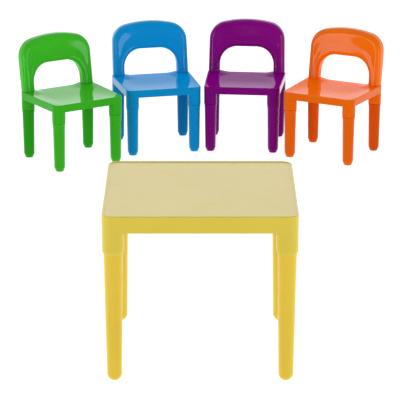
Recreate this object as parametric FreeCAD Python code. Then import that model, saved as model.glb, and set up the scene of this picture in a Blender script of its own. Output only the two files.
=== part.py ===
import FreeCAD, Part
import math
import os
from FreeCAD import Vector as V

# Children's plastic furniture set: one square table and four small chairs.
# Every moulding is a thin-walled part open underneath or inside; legs and
# backrests push into sockets of the table top and the seats.
# Millimetres, +Z up.  The chairs stand in a row behind the table (+Y side)
# and face it; people sit looking towards -Y.

# ---------------------------------------------------------------- table sizes
TABLE_W = 500.0            # outer width, X
TABLE_D = 500.0            # outer depth, Y
TABLE_H = 450.0            # top of the raised rim above the floor
TABLE_APRON = 45.0         # height of the apron
TABLE_WALL = 3.2           # apron wall
TABLE_SKIN = 4.0           # thickness of the top panel
TABLE_RIM_W = 6.5          # width of the raised rim round the top
TABLE_RIM_H = 2.2          # panel lies this far below the rim
TABLE_COLLAR_R = 28.5      # outer radius of the corner collars
TABLE_COLLAR_DROP = 104.0  # collar's lower end, below the rim
TABLE_SOCKET_R = 24.9      # socket bore for the leg
TABLE_LEG_TOP_R = 24.6     # leg radius inside and just below the collar
TABLE_LEG_FOOT_R = 19.4    # leg radius just above the rounded foot
TABLE_LEG_WALL = 3.0
TABLE_SOCKET_TOP = 438.0   # height of the socket's end
TABLE_RIB_T = 2.4
TABLE_RIB_H = 13.0

# ---------------------------------------------------------------- chair sizes
SEAT_W = 265.0             # outer width at the front edge
SEAT_REAR_EXTRA = 7.0      # wider by this much on each side at the rear edge
SEAT_D = 254.0             # outer depth
SEAT_H = 235.0             # height of the front edge and of the side edges
SEAT_DISH = 5.5            # the middle of the seat lies this far lower
SEAT_APRON = 26.0
SEAT_WALL = 2.8
SEAT_SKIN = 3.2
SEAT_COLLAR_R = 22.5
SEAT_COLLAR_DROP = 64.0    # collar's lower end, below the seat's edge
SEAT_SOCKET_R = 18.8       # bore for the leg's plug
SEAT_SOCKET_TOP = 203.0    # height of the leg socket's end
SEAT_RIB_T = 2.2
SEAT_RIB_H = 9.0

LEG_PLUG_R = 18.5
LEG_SHOULDER_R = 22.0      # flush with the collar at the joint line
LEG_NECK_R = 20.3          # below the flare
LEG_ANKLE_R = 18.4         # just above the bevelled foot
LEG_FOOT_R = 12.8          # flat disc under the foot
LEG_FOOT_H = 14.0
LEG_WALL = 2.6

BACK_LEAN = 6.2            # degrees backwards
BACK_TOP = 421.0           # height of the crown
BACK_T = 46.0              # thickness front to back, over the panel
BACK_BASE_T = 37.0         # thickness of the uprights where they meet the seat
BACK_DEEP_Z = 312.0        # the rear reaches its full depth at this height
BACK_BASE_X = 136.0        # outer half-width where it meets the seat
BACK_SIDE_SLOPE = 0.018    # sides draw in going up
BACK_CORNER_R = 62.0
BACK_CROWN_R = 380.0
BACK_OPEN_X = 95.5         # half-width of the opening
BACK_OPEN_TOP = 326.0
BACK_OPEN_R = 61.0
BACK_FRONT_R = 14.0        # rounding of the front outline
BACK_REAR_R = 8.0          # rounding of the rear outline
BACK_WALL = 3.0
BACK_SCOOP = 6.0           # depth of the hollow in the front of the panel
BACK_Y = 105.0             # middle of the uprights where they meet the seat
PEG_R = 13.5               # peg under each upright
PEG_SOCKET_R = 13.8
PEG_BORE_R = 9.5
PEG_LEN = 26.0

# ------------------------------------------------------------ layout on floor
# centre of each footprint relative to the table's centre, and the turn of the
# chair about the vertical, counter-clockwise from above (0 = facing -Y)
CHAIRS = {
    "green": (-440.0, 1811.0, 31.9),
    "blue": (-152.0, 1990.0, 13.5),
    "purple": (156.0, 2012.0, -5.7),
    "orange": (458.0, 1884.0, -27.4),
}
# moves the whole set so that the middle of its footprint is the origin
SET_X = -6.76
SET_Y = -960.62

os.makedirs("parts", exist_ok=True)


def face_of(edges):
    return Part.Face(Part.Wire(edges))


def hull_face(pts, r, z):
    """Outline that runs round equal discs of radius r at pts (counter-clockwise)."""
    n = len(pts)
    normals = []
    for i in range(n):
        a, b = pts[i], pts[(i + 1) % n]
        dx, dy = b[0] - a[0], b[1] - a[1]
        l = math.hypot(dx, dy)
        normals.append((dy / l, -dx / l))
    edges = []
    for i in range(n):
        a, b = pts[i], pts[(i + 1) % n]
        nx, ny = normals[i]
        mx, my = normals[(i + 1) % n]
        p0 = V(a[0] + nx * r, a[1] + ny * r, z)
        p1 = V(b[0] + nx * r, b[1] + ny * r, z)
        edges.append(Part.LineSegment(p0, p1).toShape())
        sx, sy = nx + mx, ny + my
        l = math.hypot(sx, sy)
        pm = V(b[0] + sx / l * r, b[1] + sy / l * r, z)
        p2 = V(b[0] + mx * r, b[1] + my * r, z)
        edges.append(Part.Arc(p1, pm, p2).toShape())
    return face_of(edges)


def prism(pts, r, z0, z1):
    return hull_face(pts, r, z0).extrude(V(0, 0, z1 - z0))


def cyl(x, y, r, z0, z1):
    return Part.makeCylinder(r, z1 - z0, V(x, y, z0))


def box(x0, x1, y0, y1, z0, z1):
    return Part.makeBox(x1 - x0, y1 - y0, z1 - z0, V(x0, y0, z0))


def revolve(points):
    """Solid of revolution about Z from (r, z) points; an entry of three
    pairs is an arc given by its middle and end."""
    edges = []
    last = points[0]
    for p in points[1:]:
        if isinstance(p[0], tuple):
            mid, end = p
            edges.append(Part.Arc(V(last[0], 0, last[1]), V(mid[0], 0, mid[1]), V(end[0], 0, end[1])).toShape())
            last = end
        else:
            edges.append(Part.LineSegment(V(last[0], 0, last[1]), V(p[0], 0, p[1])).toShape())
            last = p
    f0 = points[0]
    if (last[0], last[1]) != (f0[0], f0[1]):
        edges.append(Part.LineSegment(V(last[0], 0, last[1]), V(f0[0], 0, f0[1])).toShape())
    return face_of(edges).revolve(V(0, 0, 0), V(0, 0, 1), 360)


def edges_at(shape, z, tol=0.01):
    out = []
    for e in shape.Edges:
        if all(abs(v.Point.z - z) < tol for v in e.Vertexes) and abs(e.BoundBox.ZLength) < tol:
            out.append(e)
    return out


def one_solid(s):
    s = s.removeSplitter()
    if s.ShapeType != "Solid":
        assert len(s.Solids) == 1, "expected one solid, got %d" % len(s.Solids)
        s = s.Solids[0]
    assert s.isValid()
    return s


# ================================================================ table
def table_corners():
    x = TABLE_W / 2 - TABLE_COLLAR_R
    y = TABLE_D / 2 - TABLE_COLLAR_R
    return [(-x, -y), (x, -y), (x, y), (-x, y)]


def make_table_top():
    c = table_corners()
    z_top, z_low = TABLE_H, TABLE_H - TABLE_APRON
    z_under = TABLE_H - TABLE_RIM_H - TABLE_SKIN
    body = prism(c, TABLE_COLLAR_R, z_low, z_top)
    body = body.makeFillet(2.6, edges_at(body, z_top))
    # flat panel inside the raised rim
    inset = TABLE_COLLAR_R - TABLE_RIM_W
    body = body.cut(prism(c, inset, z_top - TABLE_RIM_H, z_top + 5))
    # hollow underneath
    body = body.cut(prism(c, TABLE_COLLAR_R - TABLE_WALL, z_low - 5, z_under))
    # ribs under the panel
    x_in = TABLE_W / 2 - TABLE_WALL - 0.5
    y_in = TABLE_D / 2 - TABLE_WALL - 0.5
    ribs = []
    for k in (-1.5, -0.5, 0.5, 1.5):
        p = k * TABLE_W / 5
        ribs.append(box(p - TABLE_RIB_T / 2, p + TABLE_RIB_T / 2, -y_in, y_in, z_under - TABLE_RIB_H, z_under + 1))
        ribs.append(box(-x_in, x_in, p - TABLE_RIB_T / 2, p + TABLE_RIB_T / 2, z_under - TABLE_RIB_H, z_under + 1))
    # collars
    z_c = TABLE_H - TABLE_COLLAR_DROP
    collars = []
    for x, y in c:
        r = TABLE_COLLAR_R
        col = revolve([(0, z_c), (r - 4.0, z_c), ((r - 1.2, z_c + 1.4), (r, z_c + 5.0)), (r, z_under + 0.5), (0, z_under + 0.5)])
        col.translate(V(x, y, 0))
        collars.append(col)
    body = body.fuse(ribs + collars)
    for x, y in c:
        body = body.cut(cyl(x, y, TABLE_SOCKET_R, z_c - 5, TABLE_SOCKET_TOP))
    return one_solid(body)


def make_table_leg(x, y):
    rt, rf, w = TABLE_LEG_TOP_R, TABLE_LEG_FOOT_R, TABLE_LEG_WALL
    z_in = TABLE_H - TABLE_COLLAR_DROP - 6.0
    flat = 9.0
    # rounded foot: flat disc, then a near-hemisphere up to the shank
    cz = math.sqrt(rf * rf - flat * flat)
    a = (math.acos(flat / rf)) / 2
    outer = [(0, 0), (flat, 0), ((rf * math.cos(a), cz - rf * math.sin(a)), (rf, cz)),
             (rt, z_in), (rt, TABLE_SOCKET_TOP), (rt - w, TABLE_SOCKET_TOP), (rt - w, z_in),
             (rf - w, cz), (rf - w - 2.2, 8.5), (flat - 1.0, 3.4), (0, 3.4)]
    leg = revolve(outer)
    leg.translate(V(x, y, 0))
    return one_solid(leg)


# ================================================================ chair
def seat_corners():
    x = SEAT_W / 2 - SEAT_COLLAR_R
    y = SEAT_D / 2 - SEAT_COLLAR_R
    e = SEAT_REAR_EXTRA
    return [(-x, -y), (x, -y), (x + e, y), (-x - e, y)]


def smooth(t):
    t = max(0.0, min(1.0, t))
    return t * t * (3 - 2 * t)


def seat_depth(x, y):
    """How far the sitting surface lies below the seat's edges at (x, y)."""
    w = SEAT_W / 2 + SEAT_REAR_EXTRA * (y + SEAT_D / 2) / SEAT_D
    side = smooth((w - 3.0 - abs(x)) / 42.0)
    front = smooth((y + SEAT_D / 2 - 4.0) / 90.0)
    # the surface climbs to the boss round each upright
    d = math.hypot(abs(x) - (SEAT_W / 2 - SEAT_COLLAR_R + SEAT_REAR_EXTRA), y - (SEAT_D / 2 - SEAT_COLLAR_R))
    boss = smooth((d - 21.0) / 34.0)
    return SEAT_DISH * side * front * boss


def make_seat():
    c = seat_corners()
    z_top, z_low = SEAT_H, SEAT_H - SEAT_APRON
    z_c = SEAT_H - SEAT_COLLAR_DROP
    z_under = SEAT_H - SEAT_DISH - SEAT_SKIN
    body = prism(c, SEAT_COLLAR_R, z_low, z_top)
    body = body.makeFillet(2.4, edges_at(body, z_top))
    # shallow dish
    nx, ny = 25, 23
    hx = SEAT_W / 2 + SEAT_REAR_EXTRA + 12
    hy = SEAT_D / 2 + 12
    grid = []
    for i in range(nx):
        row = []
        for j in range(ny):
            px = -hx + 2 * hx * i / (nx - 1)
            py = -hy + 2 * hy * j / (ny - 1)
            dd = seat_depth(px, py)
            lift = 0.35 if dd < 0.02 else 0.0
            row.append(V(px, py, z_top - dd + lift))
        grid.append(row)
    surf = Part.BSplineSurface()
    surf.interpolate(grid)
    body = body.cut(surf.toShape().extrude(V(0, 0, 40)))
    # hollow underneath
    body = body.cut(prism(c, SEAT_COLLAR_R - SEAT_WALL, z_low - 5, z_under))
    add = []
    x_in = SEAT_W / 2 - SEAT_WALL - 0.4
    y_in = SEAT_D / 2 - SEAT_WALL - 0.4
    for k in (-1.0, 0.0, 1.0):
        p = k * SEAT_W / 4
        add.append(box(p - SEAT_RIB_T / 2, p + SEAT_RIB_T / 2, -y_in, y_in, z_under - SEAT_RIB_H, z_under + 0.6))
        add.append(box(-x_in, x_in, p - SEAT_RIB_T / 2, p + SEAT_RIB_T / 2, z_under - SEAT_RIB_H, z_under + 0.6))
    for i, (x, y) in enumerate(c):
        add.append(cyl(x, y, SEAT_COLLAR_R, z_c, z_under + 0.6))
        if i >= 2:
            # boss that carries the upright, up to the joint line
            add.append(cyl(x, y, SEAT_COLLAR_R - 2.6, z_under, SEAT_H))
    body = body.fuse(add)
    for i, (x, y) in enumerate(c):
        body = body.cut(cyl(x, y, SEAT_SOCKET_R, z_c - 5, SEAT_SOCKET_TOP))
        if i >= 2:
            body = body.cut(cyl(x, y, PEG_SOCKET_R, SEAT_H - PEG_LEN - 1.0, SEAT_H + 5))
    return one_solid(body)


def make_chair_leg(x, y):
    zj = SEAT_H - SEAT_COLLAR_DROP
    w = LEG_WALL
    zt = SEAT_SOCKET_TOP - 1.0
    leg = revolve([
        (0, 0), (LEG_FOOT_R, 0), (LEG_ANKLE_R, LEG_FOOT_H), (LEG_NECK_R, zj - 20.0),
        ((LEG_NECK_R + 0.5, zj - 9.0), (LEG_SHOULDER_R, zj)), (LEG_PLUG_R, zj), (LEG_PLUG_R, zt - 1.5),
        (LEG_PLUG_R - 1.2, zt), (LEG_PLUG_R - w - 0.4, zt), (LEG_PLUG_R - w - 0.1, zj - 1.0), (LEG_NECK_R - w, zj - 20.0),
        (LEG_ANKLE_R - w, LEG_FOOT_H), (LEG_FOOT_R - w, 3.0), (0, 3.0)])
    leg.translate(V(x, y, 0))
    return one_solid(leg)


def arch_face(off, y):
    """Front outline of the backrest at depth y, drawn in by off."""
    s = BACK_SIDE_SLOPE
    k = math.sqrt(1 + s * s)
    rc, rk = BACK_CORNER_R, BACK_CROWN_R
    zk = BACK_TOP - rk
    z0 = SEAT_H - 40.0
    a = BACK_BASE_X + s * SEAT_H - rc * k
    cz = 350.0
    for _ in range(40):
        cx = a - s * cz
        cz = zk + math.sqrt((rk - rc) ** 2 - cx * cx)
    cx = a - s * cz
    r1 = rc - off
    rr = rk - off
    tx, tz = cx + r1 / k, cz + s * r1 / k                    # side meets corner
    d = math.hypot(cx, cz - zk)
    ux, uz = cx / d, (cz - zk) / d
    qx, qz = ux * rr, zk + uz * rr                           # corner meets crown
    mx, mz = 1 / k + ux, s / k + uz
    l = math.hypot(mx, mz)
    bx = BACK_BASE_X + s * (SEAT_H - z0) - off * k
    xo = BACK_OPEN_X + off
    ro = BACK_OPEN_R + off
    zo = BACK_OPEN_TOP + off
    xi = xo - ro
    h = ro * math.sqrt(0.5)

    def P(x, z):
        return V(x, y, z)
    e = [
        Part.LineSegment(P(bx, z0), P(tx, tz)),
        Part.Arc(P(tx, tz), P(cx + r1 * mx / l, cz + r1 * mz / l), P(qx, qz)),
        Part.Arc(P(qx, qz), P(0, zk + rr), P(-qx, qz)),
        Part.Arc(P(-qx, qz), P(-cx - r1 * mx / l, cz + r1 * mz / l), P(-tx, tz)),
        Part.LineSegment(P(-tx, tz), P(-bx, z0)),
        Part.LineSegment(P(-bx, z0), P(-xo, z0)),
        Part.LineSegment(P(-xo, z0), P(-xo, zo - ro)),
        Part.Arc(P(-xo, zo - ro), P(-xi - h, zo - ro + h), P(-xi, zo)),
        Part.LineSegment(P(-xi, zo), P(xi, zo)),
        Part.Arc(P(xi, zo), P(xi + h, zo - ro + h), P(xo, zo - ro)),
        Part.LineSegment(P(xo, zo - ro), P(xo, z0)),
        Part.LineSegment(P(xo, z0), P(bx, z0)),
    ]
    return face_of([q.toShape() for q in e])


def arch_solid(off):
    front = BACK_Y - BACK_BASE_T / 2
    y0 = front + off
    y1 = front + BACK_T - off
    z0 = SEAT_H - 40.0
    s = arch_face(off, y0).extrude(V(0, y1 - y0, 0))

    def pick(y):
        return [e for e in s.Edges if e.BoundBox.YLength < 0.01 and abs(e.BoundBox.YMin - y) < 0.01
                and e.BoundBox.ZMax > z0 + 1]
    s = s.makeFillet(BACK_FRONT_R - off * 0.9, pick(y0))
    s = s.makeFillet(BACK_REAR_R - off * 0.9, pick(y1))
    # the uprights are less deep than the panel: the rear slopes in below it
    yb = front + BACK_BASE_T - off
    pts = [V(-200, yb, z0 - 5), V(-200, yb, SEAT_H + 2.0), V(-200, y1 + 0.01, BACK_DEEP_Z),
           V(-200, y1 + 40, BACK_DEEP_Z), V(-200, y1 + 40, z0 - 5)]
    s = s.cut(Part.Face(Part.makePolygon(pts + [pts[0]])).extrude(V(400, 0, 0)))
    # the front of the panel is hollowed about a near-vertical axis
    half = 112.0
    rs = (half * half + BACK_SCOOP * BACK_SCOOP) / (2 * BACK_SCOOP)
    yc = front + BACK_SCOOP - rs
    s = s.cut(Part.makeCylinder(rs + off, 200.0, V(0, yc, z0 + 100)))
    s.rotate(V(0, BACK_Y, SEAT_H), V(1, 0, 0), -BACK_LEAN)
    return s


def make_backrest():
    trim = box(-200, 200, -100, 300, 0, SEAT_H)
    outer = arch_solid(0.0).cut(trim)
    trim_in = box(-200, 200, -100, 300, 0, SEAT_H + BACK_WALL)
    inner = arch_solid(BACK_WALL).cut(trim_in)
    body = outer
    c = seat_corners()
    pegs = []
    for x, y in c[2:]:
        p = cyl(x, y, PEG_R, SEAT_H - PEG_LEN, SEAT_H + 6.0)
        pegs.append(p)
    body = body.fuse(pegs)
    body = body.cut(inner)
    for x, y in c[2:]:
        body = body.cut(cyl(x, y, PEG_BORE_R, SEAT_H - PEG_LEN - 5, SEAT_H + 12.0))
    return one_solid(body)


# ================================================================ write out
def place(shape, x, y, turn):
    s = shape.copy()
    s.rotate(V(0, 0, 0), V(0, 0, 1), turn)
    s.translate(V(x + SET_X, y + SET_Y, 0))
    return s


def save(shape, name):
    shape.exportStep("parts/" + name + ".step")
    b = shape.BoundBox
    print("%-26s vol %.0f  x %.1f..%.1f y %.1f..%.1f z %.1f..%.1f" % (
        name, shape.Volume, b.XMin, b.XMax, b.YMin, b.YMax, b.ZMin, b.ZMax))


def main():
    save(place(make_table_top(), 0, 0, 0), "table_top")
    names = ["front_left", "front_right", "rear_right", "rear_left"]
    for n, (x, y) in zip(names, table_corners()):
        save(place(make_table_leg(x, y), 0, 0, 0), "table_leg_" + n)
    seat = make_seat()
    back = make_backrest()
    legs = [make_chair_leg(x, y) for x, y in seat_corners()]
    for colour, (x, y, turn) in CHAIRS.items():
        save(place(seat, x, y, turn), colour + "_seat")
        save(place(back, x, y, turn), colour + "_backrest")
        for n, leg in zip(names, legs):
            save(place(leg, x, y, turn), colour + "_leg_" + n)


main()
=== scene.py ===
import math
import bpy
import bmesh
from mathutils import Vector, Matrix


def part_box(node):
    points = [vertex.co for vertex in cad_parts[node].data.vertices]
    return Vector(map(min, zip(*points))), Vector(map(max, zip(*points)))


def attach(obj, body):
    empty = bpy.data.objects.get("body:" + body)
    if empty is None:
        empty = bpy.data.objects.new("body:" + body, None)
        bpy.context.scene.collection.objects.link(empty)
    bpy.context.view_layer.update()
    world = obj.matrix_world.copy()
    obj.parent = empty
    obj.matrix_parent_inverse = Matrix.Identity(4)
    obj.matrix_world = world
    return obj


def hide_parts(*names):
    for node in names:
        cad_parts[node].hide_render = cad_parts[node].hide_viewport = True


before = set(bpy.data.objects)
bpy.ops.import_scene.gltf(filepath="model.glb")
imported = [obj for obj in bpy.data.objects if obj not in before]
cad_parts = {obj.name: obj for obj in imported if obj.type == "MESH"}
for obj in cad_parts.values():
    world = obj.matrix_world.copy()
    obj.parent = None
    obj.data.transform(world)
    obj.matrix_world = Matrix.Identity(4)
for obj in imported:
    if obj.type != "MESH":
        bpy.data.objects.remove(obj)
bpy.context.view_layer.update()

COLOURS = ("green", "blue", "purple", "orange")
CORNERS = ("front_left", "front_right", "rear_right", "rear_left")

# ------------------------------------------------------------------ sizes, mm
TABLE_W, TABLE_D, TABLE_H, TABLE_APRON, TABLE_WALL = 500.0, 500.0, 450.0, 45.0, 3.2
TABLE_RIM_W, TABLE_RIM_H, TABLE_SKIN = 6.5, 2.2, 4.0
TABLE_COLLAR_R, TABLE_COLLAR_Z, TABLE_SOCKET_R = 28.5, 346.0, 24.9
TABLE_LEG_R, TABLE_FOOT_R = 24.6, 19.4
SEAT_W, SEAT_D, SEAT_H, SEAT_APRON, SEAT_WALL = 265.0, 254.0, 235.0, 26.0, 2.8
SEAT_EXTRA, SEAT_DISH, SEAT_SKIN = 7.0, 5.5, 3.2
SEAT_COLLAR_R, SEAT_COLLAR_Z, SEAT_SOCKET_R = 22.5, 171.0, 18.8
BACK_Y, BACK_BASE_T, BACK_T, BACK_DEEP_Z = 105.0, 37.0, 46.0, 312.0
LEAN = math.tan(math.radians(6.2))


# ----------------------------------------------------------- where things are
def mid(node):
    lo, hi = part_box(node)
    return Vector(((lo.x + hi.x) / 2, (lo.y + hi.y) / 2, 0.0))


def local_frame(prefix):
    legs = [mid(prefix + "_leg_" + c) for c in CORNERS]
    centre = sum(legs, Vector()) / 4
    turn = math.atan2(legs[1].y - legs[0].y, legs[1].x - legs[0].x)
    return Matrix.Translation(centre) @ Matrix.Rotation(turn, 4, "Z") @ Matrix.Scale(0.001, 4)


# ------------------------------------------------------------- mesh building
class Shell:
    def __init__(self):
        self.v, self.f = [], []

    def ring(self, pts):
        i = len(self.v)
        self.v.extend(pts)
        return list(range(i, i + len(pts)))

    def loft(self, rings, cap0=False, cap1=False):
        ids = [self.ring(r) for r in rings]
        n = len(ids[0])
        for a, b in zip(ids[:-1], ids[1:]):
            for k in range(n):
                m = (k + 1) % n
                self.f.append((a[k], a[m], b[m], b[k]))
        if cap0:
            self.f.append(tuple(reversed(ids[0])))
        if cap1:
            self.f.append(tuple(ids[-1]))
        return ids

    def lathe(self, x, y, profile, n=64, cap0=True, cap1=True):
        rings = []
        for r, z in profile:
            rings.append([(x + r * math.cos(2 * math.pi * k / n), y + r * math.sin(2 * math.pi * k / n), z) for k in range(n)])
        return self.loft(rings, cap0, cap1)


def hull_normals(pts):
    out = []
    for i in range(len(pts)):
        a, b = pts[i], pts[(i + 1) % len(pts)]
        dx, dy = b[0] - a[0], b[1] - a[1]
        l = math.hypot(dx, dy)
        out.append((dy / l, -dx / l))
    return out


def hull_ring(pts, radius, z, arc=14, line=14, vary=None):
    """Ring of points that runs round discs at pts.  radius may be a function of
    the share along a straight run (0..1) or None on an arc."""
    ns = hull_normals(pts)
    n = len(pts)
    ring = []
    rf = radius if callable(radius) else (lambda s: radius)
    zf = z if callable(z) else (lambda x, y: z)
    for i in range(n):
        a, b = pts[i], pts[(i + 1) % n]
        n0, n1 = ns[i], ns[(i + 1) % n]
        for k in range(line):
            s = (k + 0.5) / line if False else k / line
            s = 0.5 - 0.5 * math.cos(math.pi * s)
            r = rf(s)
            x = a[0] + (b[0] - a[0]) * s + n0[0] * r
            y = a[1] + (b[1] - a[1]) * s + n0[1] * r
            ring.append((x, y, zf(x, y)))
        a0 = math.atan2(n0[1], n0[0])
        a1 = math.atan2(n1[1], n1[0])
        while a1 < a0:
            a1 += 2 * math.pi
        for k in range(arc):
            t = a0 + (a1 - a0) * k / arc
            r = rf(None)
            x, y = b[0] + r * math.cos(t), b[1] + r * math.sin(t)
            ring.append((x, y, zf(x, y)))
    return ring


def quarter(n, a0, a1):
    return [math.radians(a0 + (a1 - a0) * k / n) for k in range(n + 1)]


def rib(shell, x0, x1, y0, y1, z0, z1, draft=0.4, r=0.7):
    """A drafted rib with a rounded lower edge, hanging from z1 down to z0."""
    def rect(g, z):
        c = 0.35
        X0, X1, Y0, Y1 = x0 + g, x1 - g, y0 + g, y1 - g
        return [(X0, Y0, z), (X1, Y0, z), (X1, Y1, z), (X0, Y1, z)]
    shell.loft([rect(-draft, z1), rect(0.0, z0 + r), rect(r * 0.3, z0 + r * 0.3), rect(r, z0)], cap0=True, cap1=True)


def make(name, shell, matrix, material, body, nodes, sharp=32, subdiv=0):
    me = bpy.data.meshes.new(name)
    me.from_pydata([matrix @ Vector(p) for p in shell.v], [], shell.f)
    bm = bmesh.new()
    bm.from_mesh(me)
    bmesh.ops.recalc_face_normals(bm, faces=bm.faces)
    bm.to_mesh(me)
    bm.free()
    me.shade_smooth()
    me.set_sharp_from_angle(angle=math.radians(sharp))
    ob = bpy.data.objects.new(name, me)
    bpy.context.scene.collection.objects.link(ob)
    me.materials.append(material)
    if subdiv:
        m = ob.modifiers.new("smooth", "SUBSURF")
        m.levels = m.render_levels = subdiv
    else:
        m = ob.modifiers.new("normals", "WEIGHTED_NORMAL")
        m.keep_sharp = True
        m.weight = 60
    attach(ob, body)
    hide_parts(*nodes)
    return ob


# ----------------------------------------------------------------- materials
def lin(rgb):
    out = []
    for u in rgb:
        u = u / 255.0
        out.append(u / 12.92 if u <= 0.04045 else ((u + 0.055) / 1.055) ** 2.4)
    return (out[0], out[1], out[2], 1.0)


def plastic(name, rgb, deep, worn, rough, rough_span, ior, peel, wave, coat=0.0, coat_rough=0.05, sss=0.0, top_ior=0.0, painted_top_light_scale=0.0):
    """Injection-moulded plastic: pigment streaks, faint flow waves, orange peel, handling smudges, paler rubbed edges,
    and optional painted light or shade on upward faces."""
    m = bpy.data.materials.new(name)
    m.use_nodes = True
    nt = m.node_tree
    N, L = nt.nodes, nt.links
    N.clear()
    out = N.new("ShaderNodeOutputMaterial")
    b = N.new("ShaderNodeBsdfPrincipled")
    L.new(b.outputs[0], out.inputs[0])
    b.inputs["IOR"].default_value = ior
    b.inputs["Coat Weight"].default_value = coat
    b.inputs["Coat Roughness"].default_value = coat_rough
    if sss:
        b.inputs["Subsurface Weight"].default_value = sss
        b.inputs["Subsurface Radius"].default_value = (0.006, 0.005, 0.002)
        b.inputs["Subsurface Scale"].default_value = 1.0
    tc = N.new("ShaderNodeTexCoord")

    def noise(scale, detail=3.0, rough_=0.5, dist=0.0):
        n = N.new("ShaderNodeTexNoise")
        n.inputs["Scale"].default_value = scale
        n.inputs["Detail"].default_value = detail
        n.inputs["Roughness"].default_value = rough_
        n.inputs["Distortion"].default_value = dist
        L.new(tc.outputs["Object"], n.inputs["Vector"])
        return n.outputs[0]

    def remap(sock, a, b_, c, d):
        r = N.new("ShaderNodeMapRange")
        r.inputs["From Min"].default_value = a
        r.inputs["From Max"].default_value = b_
        r.inputs["To Min"].default_value = c
        r.inputs["To Max"].default_value = d
        L.new(sock, r.inputs["Value"])
        return r.outputs[0]

    def mix(fac, a, b_):
        x = N.new("ShaderNodeMix")
        x.data_type = "RGBA"
        L.new(fac, x.inputs["Factor"])
        for sock, val in ((x.inputs[6], a), (x.inputs[7], b_)):
            if isinstance(val, tuple):
                sock.default_value = val
            else:
                L.new(val, sock)
        return x.outputs[2]

    def math_(op, a, b_=None):
        x = N.new("ShaderNodeMath")
        x.operation = op
        for i, val in enumerate((a, b_)):
            if val is None:
                continue
            if isinstance(val, (int, float)):
                x.inputs[i].default_value = val
            else:
                L.new(val, x.inputs[i])
        return x.outputs[0]

    # pigment: slow drift and fine speckle
    drift = remap(noise(5.0, 2.0, 0.5, 0.4), 0.25, 0.75, 0.0, 1.0)
    colour = mix(drift, lin(rgb), lin(deep))
    speck = remap(noise(620.0, 1.0, 0.4), 0.62, 0.8, 0.0, 0.02)
    colour = mix(speck, colour, lin(worn))
    # rubbed edges, broken up so the wear is uneven
    geo = N.new("ShaderNodeNewGeometry")
    edge = remap(geo.outputs["Pointiness"], 0.555, 0.66, 0.0, 1.0)
    patch = remap(noise(38.0, 4.0, 0.6), 0.42, 0.66, 0.0, 1.0)
    wear = math_("MULTIPLY", math_("MULTIPLY", edge, patch), 0.42)
    colour = mix(wear, colour, lin(worn))
    if painted_top_light_scale:
        # painted light and shade: the base colour of upward faces is scaled lighter (seats) or a step darker (table
        # top), standing in for the sheen and light falling on the tops
        upn = N.new("ShaderNodeSeparateXYZ")
        L.new(tc.outputs["Normal"], upn.inputs[0])
        painted_top_light = N.new("ShaderNodeVectorMath")
        painted_top_light.operation = "SCALE"
        L.new(colour, painted_top_light.inputs[0])
        L.new(remap(upn.outputs["Z"], 0.4, 0.95, 1.0, painted_top_light_scale), painted_top_light.inputs["Scale"])
        colour = painted_top_light.outputs[0]
    L.new(colour, b.inputs["Base Color"])
    # roughness: smudges, fine grain, rubbed edges duller
    smudge = remap(noise(11.0, 4.0, 0.62, 0.8), 0.48, 0.72, 0.0, rough_span)
    grain = remap(noise(300.0, 2.0, 0.5), 0.3, 0.7, -0.012, 0.012)
    r = math_("ADD", math_("ADD", smudge, grain), rough)
    r = math_("ADD", r, math_("MULTIPLY", wear, 0.35))
    L.new(r, b.inputs["Roughness"])
    # fine handling scratches
    sv = N.new("ShaderNodeMapping")
    sv.inputs["Scale"].default_value = (9.0, 420.0, 60.0)
    sv.inputs["Rotation"].default_value = (0.3, 0.2, 0.7)
    L.new(tc.outputs["Object"], sv.inputs["Vector"])
    sn = N.new("ShaderNodeTexNoise")
    sn.inputs["Scale"].default_value = 1.0
    sn.inputs["Detail"].default_value = 2.0
    L.new(sv.outputs[0], sn.inputs["Vector"])
    scratch = remap(sn.outputs[0], 0.68, 0.78, 0.0, 1.0)
    # bump
    b1 = N.new("ShaderNodeBump")
    b1.inputs["Strength"].default_value = 1.0
    b1.inputs["Distance"].default_value = wave
    L.new(noise(16.0, 1.0, 0.4), b1.inputs["Height"])
    b2 = N.new("ShaderNodeBump")
    b2.inputs["Strength"].default_value = 1.0
    b2.inputs["Distance"].default_value = peel
    L.new(noise(420.0, 2.0, 0.5), b2.inputs["Height"])
    L.new(b1.outputs[0], b2.inputs["Normal"])
    b3 = N.new("ShaderNodeBump")
    b3.invert = True
    b3.inputs["Strength"].default_value = 0.25
    b3.inputs["Distance"].default_value = 0.00004
    L.new(scratch, b3.inputs["Height"])
    L.new(b2.outputs[0], b3.inputs["Normal"])
    L.new(b3.outputs[0], b.inputs["Normal"])
    if top_ior:
        # the upward face is pressed finer than the sides and takes more sheen
        up = N.new("ShaderNodeSeparateXYZ")
        L.new(tc.outputs["Normal"], up.inputs[0])
        L.new(remap(up.outputs["Z"], 0.5, 0.98, ior, top_ior), b.inputs["IOR"])
    return m


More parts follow.
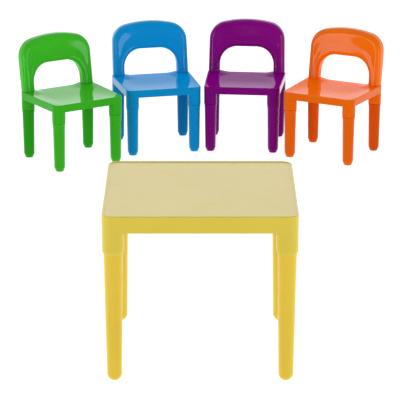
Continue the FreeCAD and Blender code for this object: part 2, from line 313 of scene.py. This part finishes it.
MAT = {
    "yellow": plastic("table_top_plastic", (222, 199, 72), (217, 193, 64), (240, 226, 150), 0.30, 0.06, 1.38, 0.000012, 0.00025, top_ior=2.06, painted_top_light_scale=0.96),
    "yellow_leg": plastic("table_leg_plastic", (230, 197, 58), (226, 192, 52), (242, 222, 138), 0.30, 0.06, 1.42, 0.000012, 0.00025),
    "green": plastic("green_gloss_plastic", (58, 174, 30), (46, 166, 24), (120, 205, 100), 0.07, 0.05, 1.28, 0.000005, 0.00018),
    "green_seat": plastic("green_seat_plastic", (58, 174, 30), (46, 166, 24), (120, 205, 100), 0.08, 0.05, 1.25, 0.000005, 0.00014, top_ior=1.24, painted_top_light_scale=1.43),
    "blue": plastic("blue_gloss_plastic", (0, 137, 202), (0, 130, 193), (90, 175, 225), 0.07, 0.05, 1.28, 0.000005, 0.00018),
    "blue_seat": plastic("blue_seat_plastic", (0, 140, 203), (0, 133, 195), (90, 175, 225), 0.08, 0.05, 1.25, 0.000005, 0.00014, top_ior=1.1, painted_top_light_scale=1.52),
    "purple": plastic("purple_gloss_plastic", (124, 0, 120), (112, 0, 110), (165, 80, 165), 0.07, 0.05, 1.28, 0.000005, 0.00018),
    "purple_seat": plastic("purple_seat_plastic", (124, 0, 120), (112, 0, 110), (165, 80, 165), 0.08, 0.05, 1.25, 0.000005, 0.00014, top_ior=1.08, painted_top_light_scale=1.68),
    "orange": plastic("orange_gloss_plastic", (230, 99, 0), (223, 92, 0), (250, 160, 90), 0.07, 0.05, 1.28, 0.000005, 0.00018),
    "orange_seat": plastic("orange_seat_plastic", (235, 106, 0), (229, 99, 0), (250, 160, 90), 0.08, 0.05, 1.25, 0.000005, 0.00014, top_ior=1.13, painted_top_light_scale=1.48),
    # lighter copies of each colour for the backrests: painted light, standing in for a key light from front-above on
    # the backward-leaning panels
    "green_back": plastic("green_back_lit_plastic", (65, 195, 37), (56, 187, 32), (130, 214, 112), 0.07, 0.05, 1.28, 0.000005, 0.00018),
    "blue_back": plastic("blue_back_lit_plastic", (0, 156, 229), (0, 149, 220), (100, 185, 232), 0.07, 0.05, 1.28, 0.000005, 0.00018),
    "purple_back": plastic("purple_back_lit_plastic", (141, 0, 136), (131, 0, 127), (178, 90, 176), 0.07, 0.05, 1.28, 0.000005, 0.00018),
    "orange_back": plastic("orange_back_lit_plastic", (255, 120, 0), (251, 113, 0), (255, 168, 98), 0.07, 0.05, 1.28, 0.000005, 0.00018),
    # darker copies of each colour for the rear legs: painted shade, standing in for the shade under the seat
    "green_rear": plastic("green_rear_leg_plastic", (44, 156, 24), (36, 149, 20), (112, 196, 92), 0.09, 0.05, 1.22, 0.000005, 0.00018),
    "blue_rear": plastic("blue_rear_leg_plastic", (0, 112, 172), (0, 105, 163), (80, 164, 214), 0.09, 0.05, 1.22, 0.000005, 0.00018),
    "purple_rear": plastic("purple_rear_leg_plastic", (112, 0, 108), (103, 0, 100), (156, 72, 156), 0.09, 0.05, 1.22, 0.000005, 0.00018),
    "orange_rear": plastic("orange_rear_leg_plastic", (214, 84, 0), (207, 77, 0), (240, 150, 80), 0.09, 0.05, 1.22, 0.000005, 0.00018),
}


# --------------------------------------------------------------------- table
def table_corners():
    x, y = TABLE_W / 2 - TABLE_COLLAR_R, TABLE_D / 2 - TABLE_COLLAR_R
    return [(-x, -y), (x, -y), (x, y), (-x, y)]


def build_table():
    M = local_frame("table")
    c = table_corners()
    R = TABLE_COLLAR_R
    z_top, z_low = TABLE_H, TABLE_H - TABLE_APRON
    z_under = z_top - TABLE_RIM_H - TABLE_SKIN
    z_pan = z_top - TABLE_RIM_H
    s = Shell()

    def hr(inset, z):
        return hull_ring(c, R - inset, z, arc=16, line=16)

    def soft(inset, z):
        # lower edge is rounded on the runs and sharp at the collars
        def rf(t):
            if t is None:
                return R
            k = min(1.0, min(t, 1 - t) / 0.06)
            return R - inset * k * k * (3 - 2 * k)
        return hull_ring(c, rf, z, arc=16, line=16)
    rings = [hr(TABLE_WALL + 1.5, z_under), hr(TABLE_WALL + 0.4, z_under - 0.4), hr(TABLE_WALL, z_under - 1.5),
             hr(TABLE_WALL - 0.1, z_under - 12), hr(TABLE_WALL - 0.2, z_low + 0.9), hr(TABLE_WALL - 0.5, z_low + 0.25), hr(TABLE_WALL - 0.9, z_low)]
    rings += [soft(0.9, z_low), soft(0.28, z_low + 0.26), soft(0.0, z_low + 0.9)]
    rings += [hr(0.0, z_low + 6), hr(0.0, z_low + 22), hr(0.0, z_top - 7), hr(0.0, z_top - 2.8)]
    r = 2.8
    for a in quarter(6, 0, 90)[1:]:
        rings.append(hr(r * (1 - math.cos(a)), z_top - r * (1 - math.sin(a))))
    w = TABLE_RIM_W
    rings.append(hr(w - 1.9, z_top))
    for a in quarter(4, 90, 12)[1:]:
        rings.append(hr(w - 1.9 + 0.9 * math.cos(a), z_top - 0.9 + 0.9 * math.sin(a)))
    for a in quarter(4, 0, 90):
        rings.append(hr(w - 0.95 + 1.1 * math.sin(a) * 1.0, z_pan + 0.75 * (1 - math.sin(a)) ** 1.6))
    rings.append(hr(w + 2.0, z_pan))
    rings.append(hr(w + 8.0, z_pan - 0.05))
    rings.append(hr(w + 20.0, z_pan - 0.08))
    s.loft(rings, cap0=False, cap1=True)
    s.loft([hr(TABLE_WALL + 1.5, z_under), hr(TABLE_WALL + 10, z_under + 0.01)], cap1=True)
    # ribs
    xi = TABLE_W / 2 - TABLE_WALL + 0.3
    for k in (-1.5, -0.5, 0.5, 1.5):
        p = k * TABLE_W / 5
        rib(s, p - 1.2, p + 1.2, -xi, xi, z_under - 13, z_under + 0.5)
        rib(s, -xi, xi, p - 1.2, p + 1.2, z_under - 13, z_under + 0.45)
    # gate mark in the middle of the underside
    s.lathe(0, 0, [(9.0, z_under + 0.3), (9.0, z_under - 0.8), (8.4, z_under - 1.2), (3.2, z_under - 1.2), (2.6, z_under - 3.0), (1.8, z_under - 3.4)], n=32)
    # collars with their sockets
    zc = TABLE_COLLAR_Z
    for x, y in c:
        prof = [(TABLE_SOCKET_R, zc + 60), (TABLE_SOCKET_R, zc + 0.8), (TABLE_SOCKET_R + 0.3, zc + 0.1), (TABLE_SOCKET_R + 0.7, zc)]
        for a in quarter(7, -90, 0)[1:]:
            prof.append((TABLE_SOCKET_R + 0.7 + (R - TABLE_SOCKET_R - 0.7) * math.cos(a), zc + 7.6 + 7.6 * math.sin(a)))
        prof += [(R, zc + 14), (R, z_low - 6), (R, z_low), (R - 0.06, z_low + 1.5), (R - 0.10, z_under + 0.4)]
        s.lathe(x, y, prof, n=64, cap0=True, cap1=True)
    make("table_top_visual", s, M, MAT["yellow"], "table", ["table_top"])
    # legs
    for name, (x, y) in zip(CORNERS, c):
        s = Shell()
        rt, rf = TABLE_LEG_R, TABLE_FOOT_R
        prof = [(8.2, 0.0), (8.9, 0.12)]
        cz = math.sqrt(rf * rf - 9.0 ** 2)
        a0 = -math.degrees(math.acos(9.4 / rf))
        for a in quarter(14, a0, 0):
            prof.append((rf * math.cos(a), cz + rf * math.sin(a)))
        z_in = TABLE_COLLAR_Z - 6
        for k in range(1, 13):
            t = k / 12
            prof.append((rf + (rt - rf) * t, cz + (z_in - cz) * t))
        prof += [(rt, z_in + 8), (rt, z_in + 60), (rt - 1.0, z_in + 61)]
        s.lathe(x, y, prof, n=64)
        make("table_leg_%s_visual" % name, s, M, MAT["yellow_leg"], "table", ["table_leg_" + name], sharp=40)


# --------------------------------------------------------------------- chair
def seat_corners():
    x, y = SEAT_W / 2 - SEAT_COLLAR_R, SEAT_D / 2 - SEAT_COLLAR_R
    return [(-x, -y), (x, -y), (x + SEAT_EXTRA, y), (-x - SEAT_EXTRA, y)]


def smooth(t):
    t = max(0.0, min(1.0, t))
    return t * t * (3 - 2 * t)


def settle(t):
    t = min(1.0, max(0.0, t))
    return 1.0 - (1.0 - t) ** 1.7


def seat_z(x, y):
    w = SEAT_W / 2 + SEAT_EXTRA * (y + SEAT_D / 2) / SEAT_D
    side = settle((w - 1.8 - abs(x)) / 56.0)
    front = settle((y + SEAT_D / 2 - 1.8) / 125.0)
    dx = abs(x) - (SEAT_W / 2 - SEAT_COLLAR_R + SEAT_EXTRA)
    d = math.hypot(dx, y - (SEAT_D / 2 - SEAT_COLLAR_R))
    boss = smooth((d - 21.5) / 36.0)
    return SEAT_H - (SEAT_DISH + 0.6) * side * front * boss


def build_seat(colour, M):
    c = seat_corners()
    R = SEAT_COLLAR_R
    z_top, z_low = SEAT_H, SEAT_H - SEAT_APRON
    z_under = z_top - SEAT_DISH - SEAT_SKIN
    s = Shell()
    ARC, LINE = 16, 20

    def hr(inset, z):
        return hull_ring(c, R - inset, z, arc=ARC, line=LINE)

    def soft(inset, z):
        def rf(t):
            if t is None:
                return R
            k = min(1.0, min(t, 1 - t) / 0.08)
            return R - inset * k * k * (3 - 2 * k)
        return hull_ring(c, rf, z, arc=ARC, line=LINE)
    w = SEAT_WALL
    rings = [hr(w + 1.2, z_under), hr(w + 0.3, z_under - 0.3), hr(w, z_under - 1.2), hr(w - 0.15, z_low + 0.8), hr(w - 0.4, z_low + 0.2), hr(w - 0.8, z_low)]
    rings += [soft(0.8, z_low), soft(0.25, z_low + 0.25), soft(0.0, z_low + 0.8)]
    rings += [hr(0.0, z_low + 4), hr(0.0, z_low + 10)]
    r = 2.6
    for drop in (9.0, 5.0, r):
        rings.append(hr(0.0, lambda x, y, d=drop: seat_z(x, y) - d))
    for a in quarter(6, 0, 90)[1:]:
        rings.append(hr(r * (1 - math.cos(a)), lambda x, y, d=r * (1 - math.sin(a)): seat_z(x, y) - d))
    # sitting surface: from the rounded edge inwards
    for inset in (3.2, 4.0, 5.2, 7.0, 9.0, 11.5, 14.0, 17.0):
        rings.append(hr(inset, seat_z))
    last = rings[-1]
    for k in range(1, 27):
        t = k / 27.0
        f = 1.0 - t
        ring = []
        for x, y, _ in last:
            X, Y = x * f, y * f
            ring.append((X, Y, seat_z(X, Y)))
        rings.append(ring)
    s.loft(rings, cap1=True)
    s.loft([hr(w + 1.2, z_under), hr(w + 8, z_under + 0.01)], cap1=True)
    xi = SEAT_W / 2 - w + 0.3
    yi = SEAT_D / 2 - w + 0.3
    for k in (-1.0, 0.0, 1.0):
        p = k * SEAT_W / 4
        rib(s, p - 1.1, p + 1.1, -yi, yi, z_under - 9, z_under + 0.4)
        rib(s, -xi, xi, p - 1.1, p + 1.1, z_under - 9, z_under + 0.35)
    s.lathe(0, 0, [(6.5, z_under + 0.3), (6.5, z_under - 0.6), (6.0, z_under - 1.0), (2.4, z_under - 1.0), (1.9, z_under - 2.4), (1.3, z_under - 2.7)], n=32)
    zc = SEAT_COLLAR_Z
    for x, y in c:
        prof = [(SEAT_SOCKET_R, zc + 30), (SEAT_SOCKET_R, zc + 0.5), (SEAT_SOCKET_R + 0.4, zc + 0.05), (R - 1.7, zc + 0.05),
                (R - 1.1, zc + 0.3), (R - 0.45, zc + 0.95), (R - 0.1, zc + 1.6), (R, zc + 2.3), (R, zc + 8), (R, z_low - 4), (R, z_low), (R - 0.06, z_low + 1.5), (R - 0.10, z_under + 0.4)]
        s.lathe(x, y, prof, n=64, cap0=True, cap1=True)
    return make("%s_seat_visual" % colour, s, M, MAT[colour + "_seat"], colour + "_chair", [colour + "_seat"], sharp=30)


def build_chair_leg(colour, M, name, x, y):
    zj = SEAT_COLLAR_Z
    prof = [(11.0, 0.0), (12.2, 0.12), (13.0, 0.7), (13.8, 2.1), (17.2, 11.0), (17.9, 13.2), (18.3, 15.6)]
    n0, n1 = 18.4, 20.3
    for k in range(1, 11):
        t = k / 10
        prof.append((n0 + (n1 - n0) * t, 18.0 + (zj - 20 - 18.0) * t))
    for k in range(1, 13):
        t = k / 12
        # a soft flare up to the joint line
        prof.append((n1 + (22.0 - n1) * (0.3 * t + 0.7 * t * t), zj - 20 + 18.6 * t))
    prof += [(21.85, zj - 1.05), (21.4, zj - 0.7), (20.9, zj - 0.35), (20.4, zj - 0.1), (20.0, zj - 0.03), (18.5, zj - 0.03), (18.5, zj + 28), (17.5, zj + 29)]
    s = Shell()
    s.lathe(x, y, prof, n=64)
    # rear legs take their colour's darker copy: painted shade under the seat
    return make("%s_leg_%s_visual" % (colour, name), s, M, MAT[colour + "_rear" if "rear" in name else colour], colour + "_chair", ["%s_leg_%s" % (colour, name)], sharp=50)


def outer_contour():
    s, rc, rk = 0.018, 62.0, 380.0
    k = math.sqrt(1 + s * s)
    zk = 420.4 - rk
    a = 136.0 + s * SEAT_H - rc * k
    cz = 350.0
    for _ in range(40):
        cx = a - s * cz
        cz = zk + math.sqrt((rk - rc) ** 2 - cx * cx)
    return s, rc, rk, zk, a - s * cz, cz


def hit_outer(px, pz, dx, dz):
    """Where the ray from (px, pz) along (dx, dz) meets the outer outline."""
    s, rc, rk, zk, cx, cz = outer_contour()
    # side line x = 136 - s (z - 235)
    best = None
    den = dx + s * dz
    if den > 1e-9:
        t = (136.0 - s * (pz - 235.0) - px) / den
        z = pz + dz * t
        if z <= cz + s * rc:
            return px + dx * t, z
    # crown
    ex, ez = px, pz - zk
    B = ex * dx + ez * dz
    C = ex * ex + ez * ez - rk * rk
    t = -B + math.sqrt(B * B - C)
    x, z = px + dx * t, pz + dz * t
    if x <= cx / (rk - rc) * rk + 1e-6:
        return x, z
    ex, ez = px - cx, pz - cz
    B = ex * dx + ez * dz
    C = ex * ex + ez * ez - rc * rc
    t = -B + math.sqrt(B * B - C)
    return px + dx * t, pz + dz * t


def build_backrest(colour, M):
    XO, ZO, RO = 95.5, 326.0, 61.0
    xi, zi = XO - RO, ZO - RO
    half = []
    for z in (235.0, 235.35, 236.0, 238.0, 243.0, 250.0, 258.0, 264.0):
        half.append(((XO, z), hit_outer(0.0, z, 1.0, 0.0)))
    for a in quarter(30, 0, 90):
        dx, dz = math.cos(a), math.sin(a)
        p = (xi + RO * dx, zi + RO * dz)
        half.append((p, hit_outer(xi, zi, dx, dz)))
    for k in range(1, 9):
        x = xi * (1 - k / 8.0)
        half.append(((x, ZO), hit_outer(x, zi, 0.0, 1.0)))
    secs = half + [((-p[0], p[1]), (-q[0], q[1])) for p, q in reversed(half[:-1])]
    s = Shell()
    rings = []
    n = len(secs)
    for i, (p, q) in enumerate(secs):
        L = math.hypot(q[0] - p[0], q[1] - p[1])
        ux, uz = (q[0] - p[0]) / L, (q[1] - p[1]) / L
        zo = q[1]
        wide = smooth((L - 36.0) / 48.0)
        T = BACK_BASE_T + (BACK_T - 0.6 - BACK_BASE_T) * smooth((0.5 * (p[1] + q[1]) - SEAT_H) / (BACK_DEEP_Z - SEAT_H + 18))
        rif = 13.5 + 2.5 * wide          # front, at the opening
        rof = 18.5 + 2.0 * wide          # front, at the outer edge
        rir, ror = 9.0, 10.0
        drop = 11.0 + 3.0 * wide
        loop = []
        for a in quarter(8, 0, 90):
            loop.append((rif * (1 - math.sin(a)) if False else rif * (1 - math.cos(a)), drop * 0.92 * (1 - math.sin(a))))
        m = 13
        for k in range(1, m):
            t = k / m
            d = L - rif - rof
            v = 1.6 * wide * math.sin(math.pi * t) ** 2
            loop.append((rif + d * t, v))
        for a in quarter(10, 90, 0):
            loop.append((L - rof * (1 - math.cos(a)), (drop + 3.0) * (1 - math.sin(a))))
        y0, y1 = drop + 3.0, T - ror
        for k in range(1, 4):
            loop.append((L + 0.0, y0 + (y1 - y0) * k / 4))
        for a in quarter(6, 0, 90):
            loop.append((L - ror * (1 - math.cos(a)), T - ror + ror * math.sin(a)))
        for k in range(1, 8):
            t = k / 8
            d = L - rir - ror
            loop.append((L - ror - d * t, T - 0.5 * wide * math.sin(math.pi * t)))
        for a in quarter(6, 90, 0):
            loop.append((rir * (1 - math.cos(a)), T - rir + rir * math.sin(a)))
        y0, y1 = T - rir, drop * 0.92
        for k in range(1, 4):
            loop.append((0.0, y0 + (y1 - y0) * k / 4))
        # groove at the joint line
        shrink = 0.0
        if i in (0, n - 1):
            shrink = 0.9
        elif i in (1, n - 2):
            shrink = 0.35
        cs, cy = L / 2, T / 2
        ring = []
        for a, y in loop:
            if shrink:
                a += (cs - a) / cs * shrink
                y += (cy - y) / cy * shrink
            x = p[0] + ux * a
            z = p[1] + uz * a
            front = 1.0 - smooth(y / (T * 0.9))
            bow = 5.5 * max(0.0, 1 - (x / 118.0) ** 2) * smooth((z - 285.0) / 60.0) * front
            Y = BACK_Y - BACK_BASE_T / 2 + y + bow + LEAN * (z - SEAT_H)
            ring.append((x, Y, z))
        rings.append(ring)
    s.loft(rings, cap0=True, cap1=True)
    # pegs into the seat's rear bosses
    for x, y in seat_corners()[2:]:
        s.lathe(x, y, [(9.5, SEAT_H - 24), (12.6, SEAT_H - 26), (13.5, SEAT_H - 24.6), (13.5, SEAT_H + 3)], n=40)
    # the backrest takes its colour's lighter copy: painted light
    ob = make("%s_backrest_visual" % colour, s, M, MAT[colour + "_back"], colour + "_chair", [colour + "_backrest"], sharp=60)
    return ob


build_table()
for colour in COLOURS:
    M = local_frame(colour)
    build_seat(colour, M)
    build_backrest(colour, M)
    for name, (x, y) in zip(CORNERS, seat_corners()):
        build_chair_leg(colour, M, name, x, y)

# --------------------------------------------------------------- floor, light
s = Shell()
fl = bpy.data.meshes.new("floor")
bm = bmesh.new()
bmesh.ops.create_circle(bm, cap_ends=True, segments=96, radius=60.0)
bm.to_mesh(fl)
bm.free()
floor = bpy.data.objects.new("floor", fl)
floor.location = (0, 0, -0.0004)
bpy.context.scene.collection.objects.link(floor)
fm = bpy.data.materials.new("floor_paper")
fm.use_nodes = True
fb = fm.node_tree.nodes["Principled BSDF"]
fn = fm.node_tree.nodes.new("ShaderNodeTexNoise")
fn.inputs["Scale"].default_value = 2.0
fr = fm.node_tree.nodes.new("ShaderNodeMapRange")
fr.inputs["To Min"].default_value = 0.86
fr.inputs["To Max"].default_value = 0.94
fm.node_tree.links.new(fn.outputs[0], fr.inputs["Value"])
fm.node_tree.links.new(fr.outputs[0], fb.inputs["Roughness"])
fb.inputs["Base Color"].default_value = (0.40, 0.40, 0.40, 1)
fb.inputs["Emission Color"].default_value = (1, 1, 1, 1)
fb.inputs["Emission Strength"].default_value = 0.85
fb.inputs["Specular IOR Level"].default_value = 0.1
fl.materials.append(fm)
floor.visible_glossy = False

world = bpy.data.worlds.new("studio")
bpy.context.scene.world = world
world.use_nodes = True
wn, wl = world.node_tree.nodes, world.node_tree.links
wn.clear()
wo = wn.new("ShaderNodeOutputWorld")
wb = wn.new("ShaderNodeBackground")
wl.new(wb.outputs[0], wo.inputs[0])
wc = wn.new("ShaderNodeTexCoord")
ws = wn.new("ShaderNodeSeparateXYZ")
wl.new(wc.outputs["Generated"], ws.inputs[0])


def wmap(sock, a, b, c, d):
    n = wn.new("ShaderNodeMapRange")
    n.interpolation_type = "SMOOTHSTEP"
    for k, v in (("From Min", a), ("From Max", b), ("To Min", c), ("To Max", d)):
        n.inputs[k].default_value = v
    wl.new(sock, n.inputs["Value"])
    return n.outputs[0]


wy = wmap(ws.outputs["Y"], -0.75, 0.75, 0.20, 1.32)
wz = wmap(ws.outputs["Z"], 0.25, 1.0, 1.0, 0.84)
wm = wn.new("ShaderNodeMath")
wm.operation = "MULTIPLY"
wl.new(wy, wm.inputs[0])
wl.new(wz, wm.inputs[1])
wl.new(wm.outputs[0], wb.inputs["Strength"])
wb.inputs["Color"].default_value = (1.0, 1.0, 1.0, 1)


def area(name, loc, target, sx, sy, power, colour=(1, 1, 1)):
    d = bpy.data.lights.new(name, "AREA")
    d.shape = "RECTANGLE"
    d.size, d.size_y = sx, sy
    d.energy = power
    d.color = colour
    o = bpy.data.objects.new(name, d)
    o.location = loc
    o.rotation_euler = (Vector(target) - Vector(loc)).to_track_quat("-Z", "Y").to_euler()
    bpy.context.scene.collection.objects.link(o)
    return o


area("softbox_left", (-4.1, -3.7, 0.75), (0, 0.9, 0.75), 2.0, 3.6, 102)
area("softbox_right", (4.1, -3.7, 0.75), (0, 0.9, 0.75), 2.0, 3.6, 102)

# -------------------------------------------------------------------- camera
T0 = local_frame("table").translation
cam_d = bpy.data.cameras.new("camera")
cam_d.sensor_fit = "HORIZONTAL"
cam_d.sensor_width = 36.0
cam_d.lens = 36.0 * 2200.0 / 400.0
cam_d.clip_start, cam_d.clip_end = 0.1, 300.0
cam = bpy.data.objects.new("camera", cam_d)
cam.location = (T0.x - 0.0005, T0.y - 5.5215, 2.1425)
cam.rotation_euler = (math.radians(90.0 - 17.362), 0, 0)
bpy.context.scene.collection.objects.link(cam)
bpy.context.scene.camera = cam

vs = bpy.context.scene.view_settings
vs.view_transform = "Standard"
vs.look = "None"
vs.exposure = 0.0
vs.gamma = 1.0
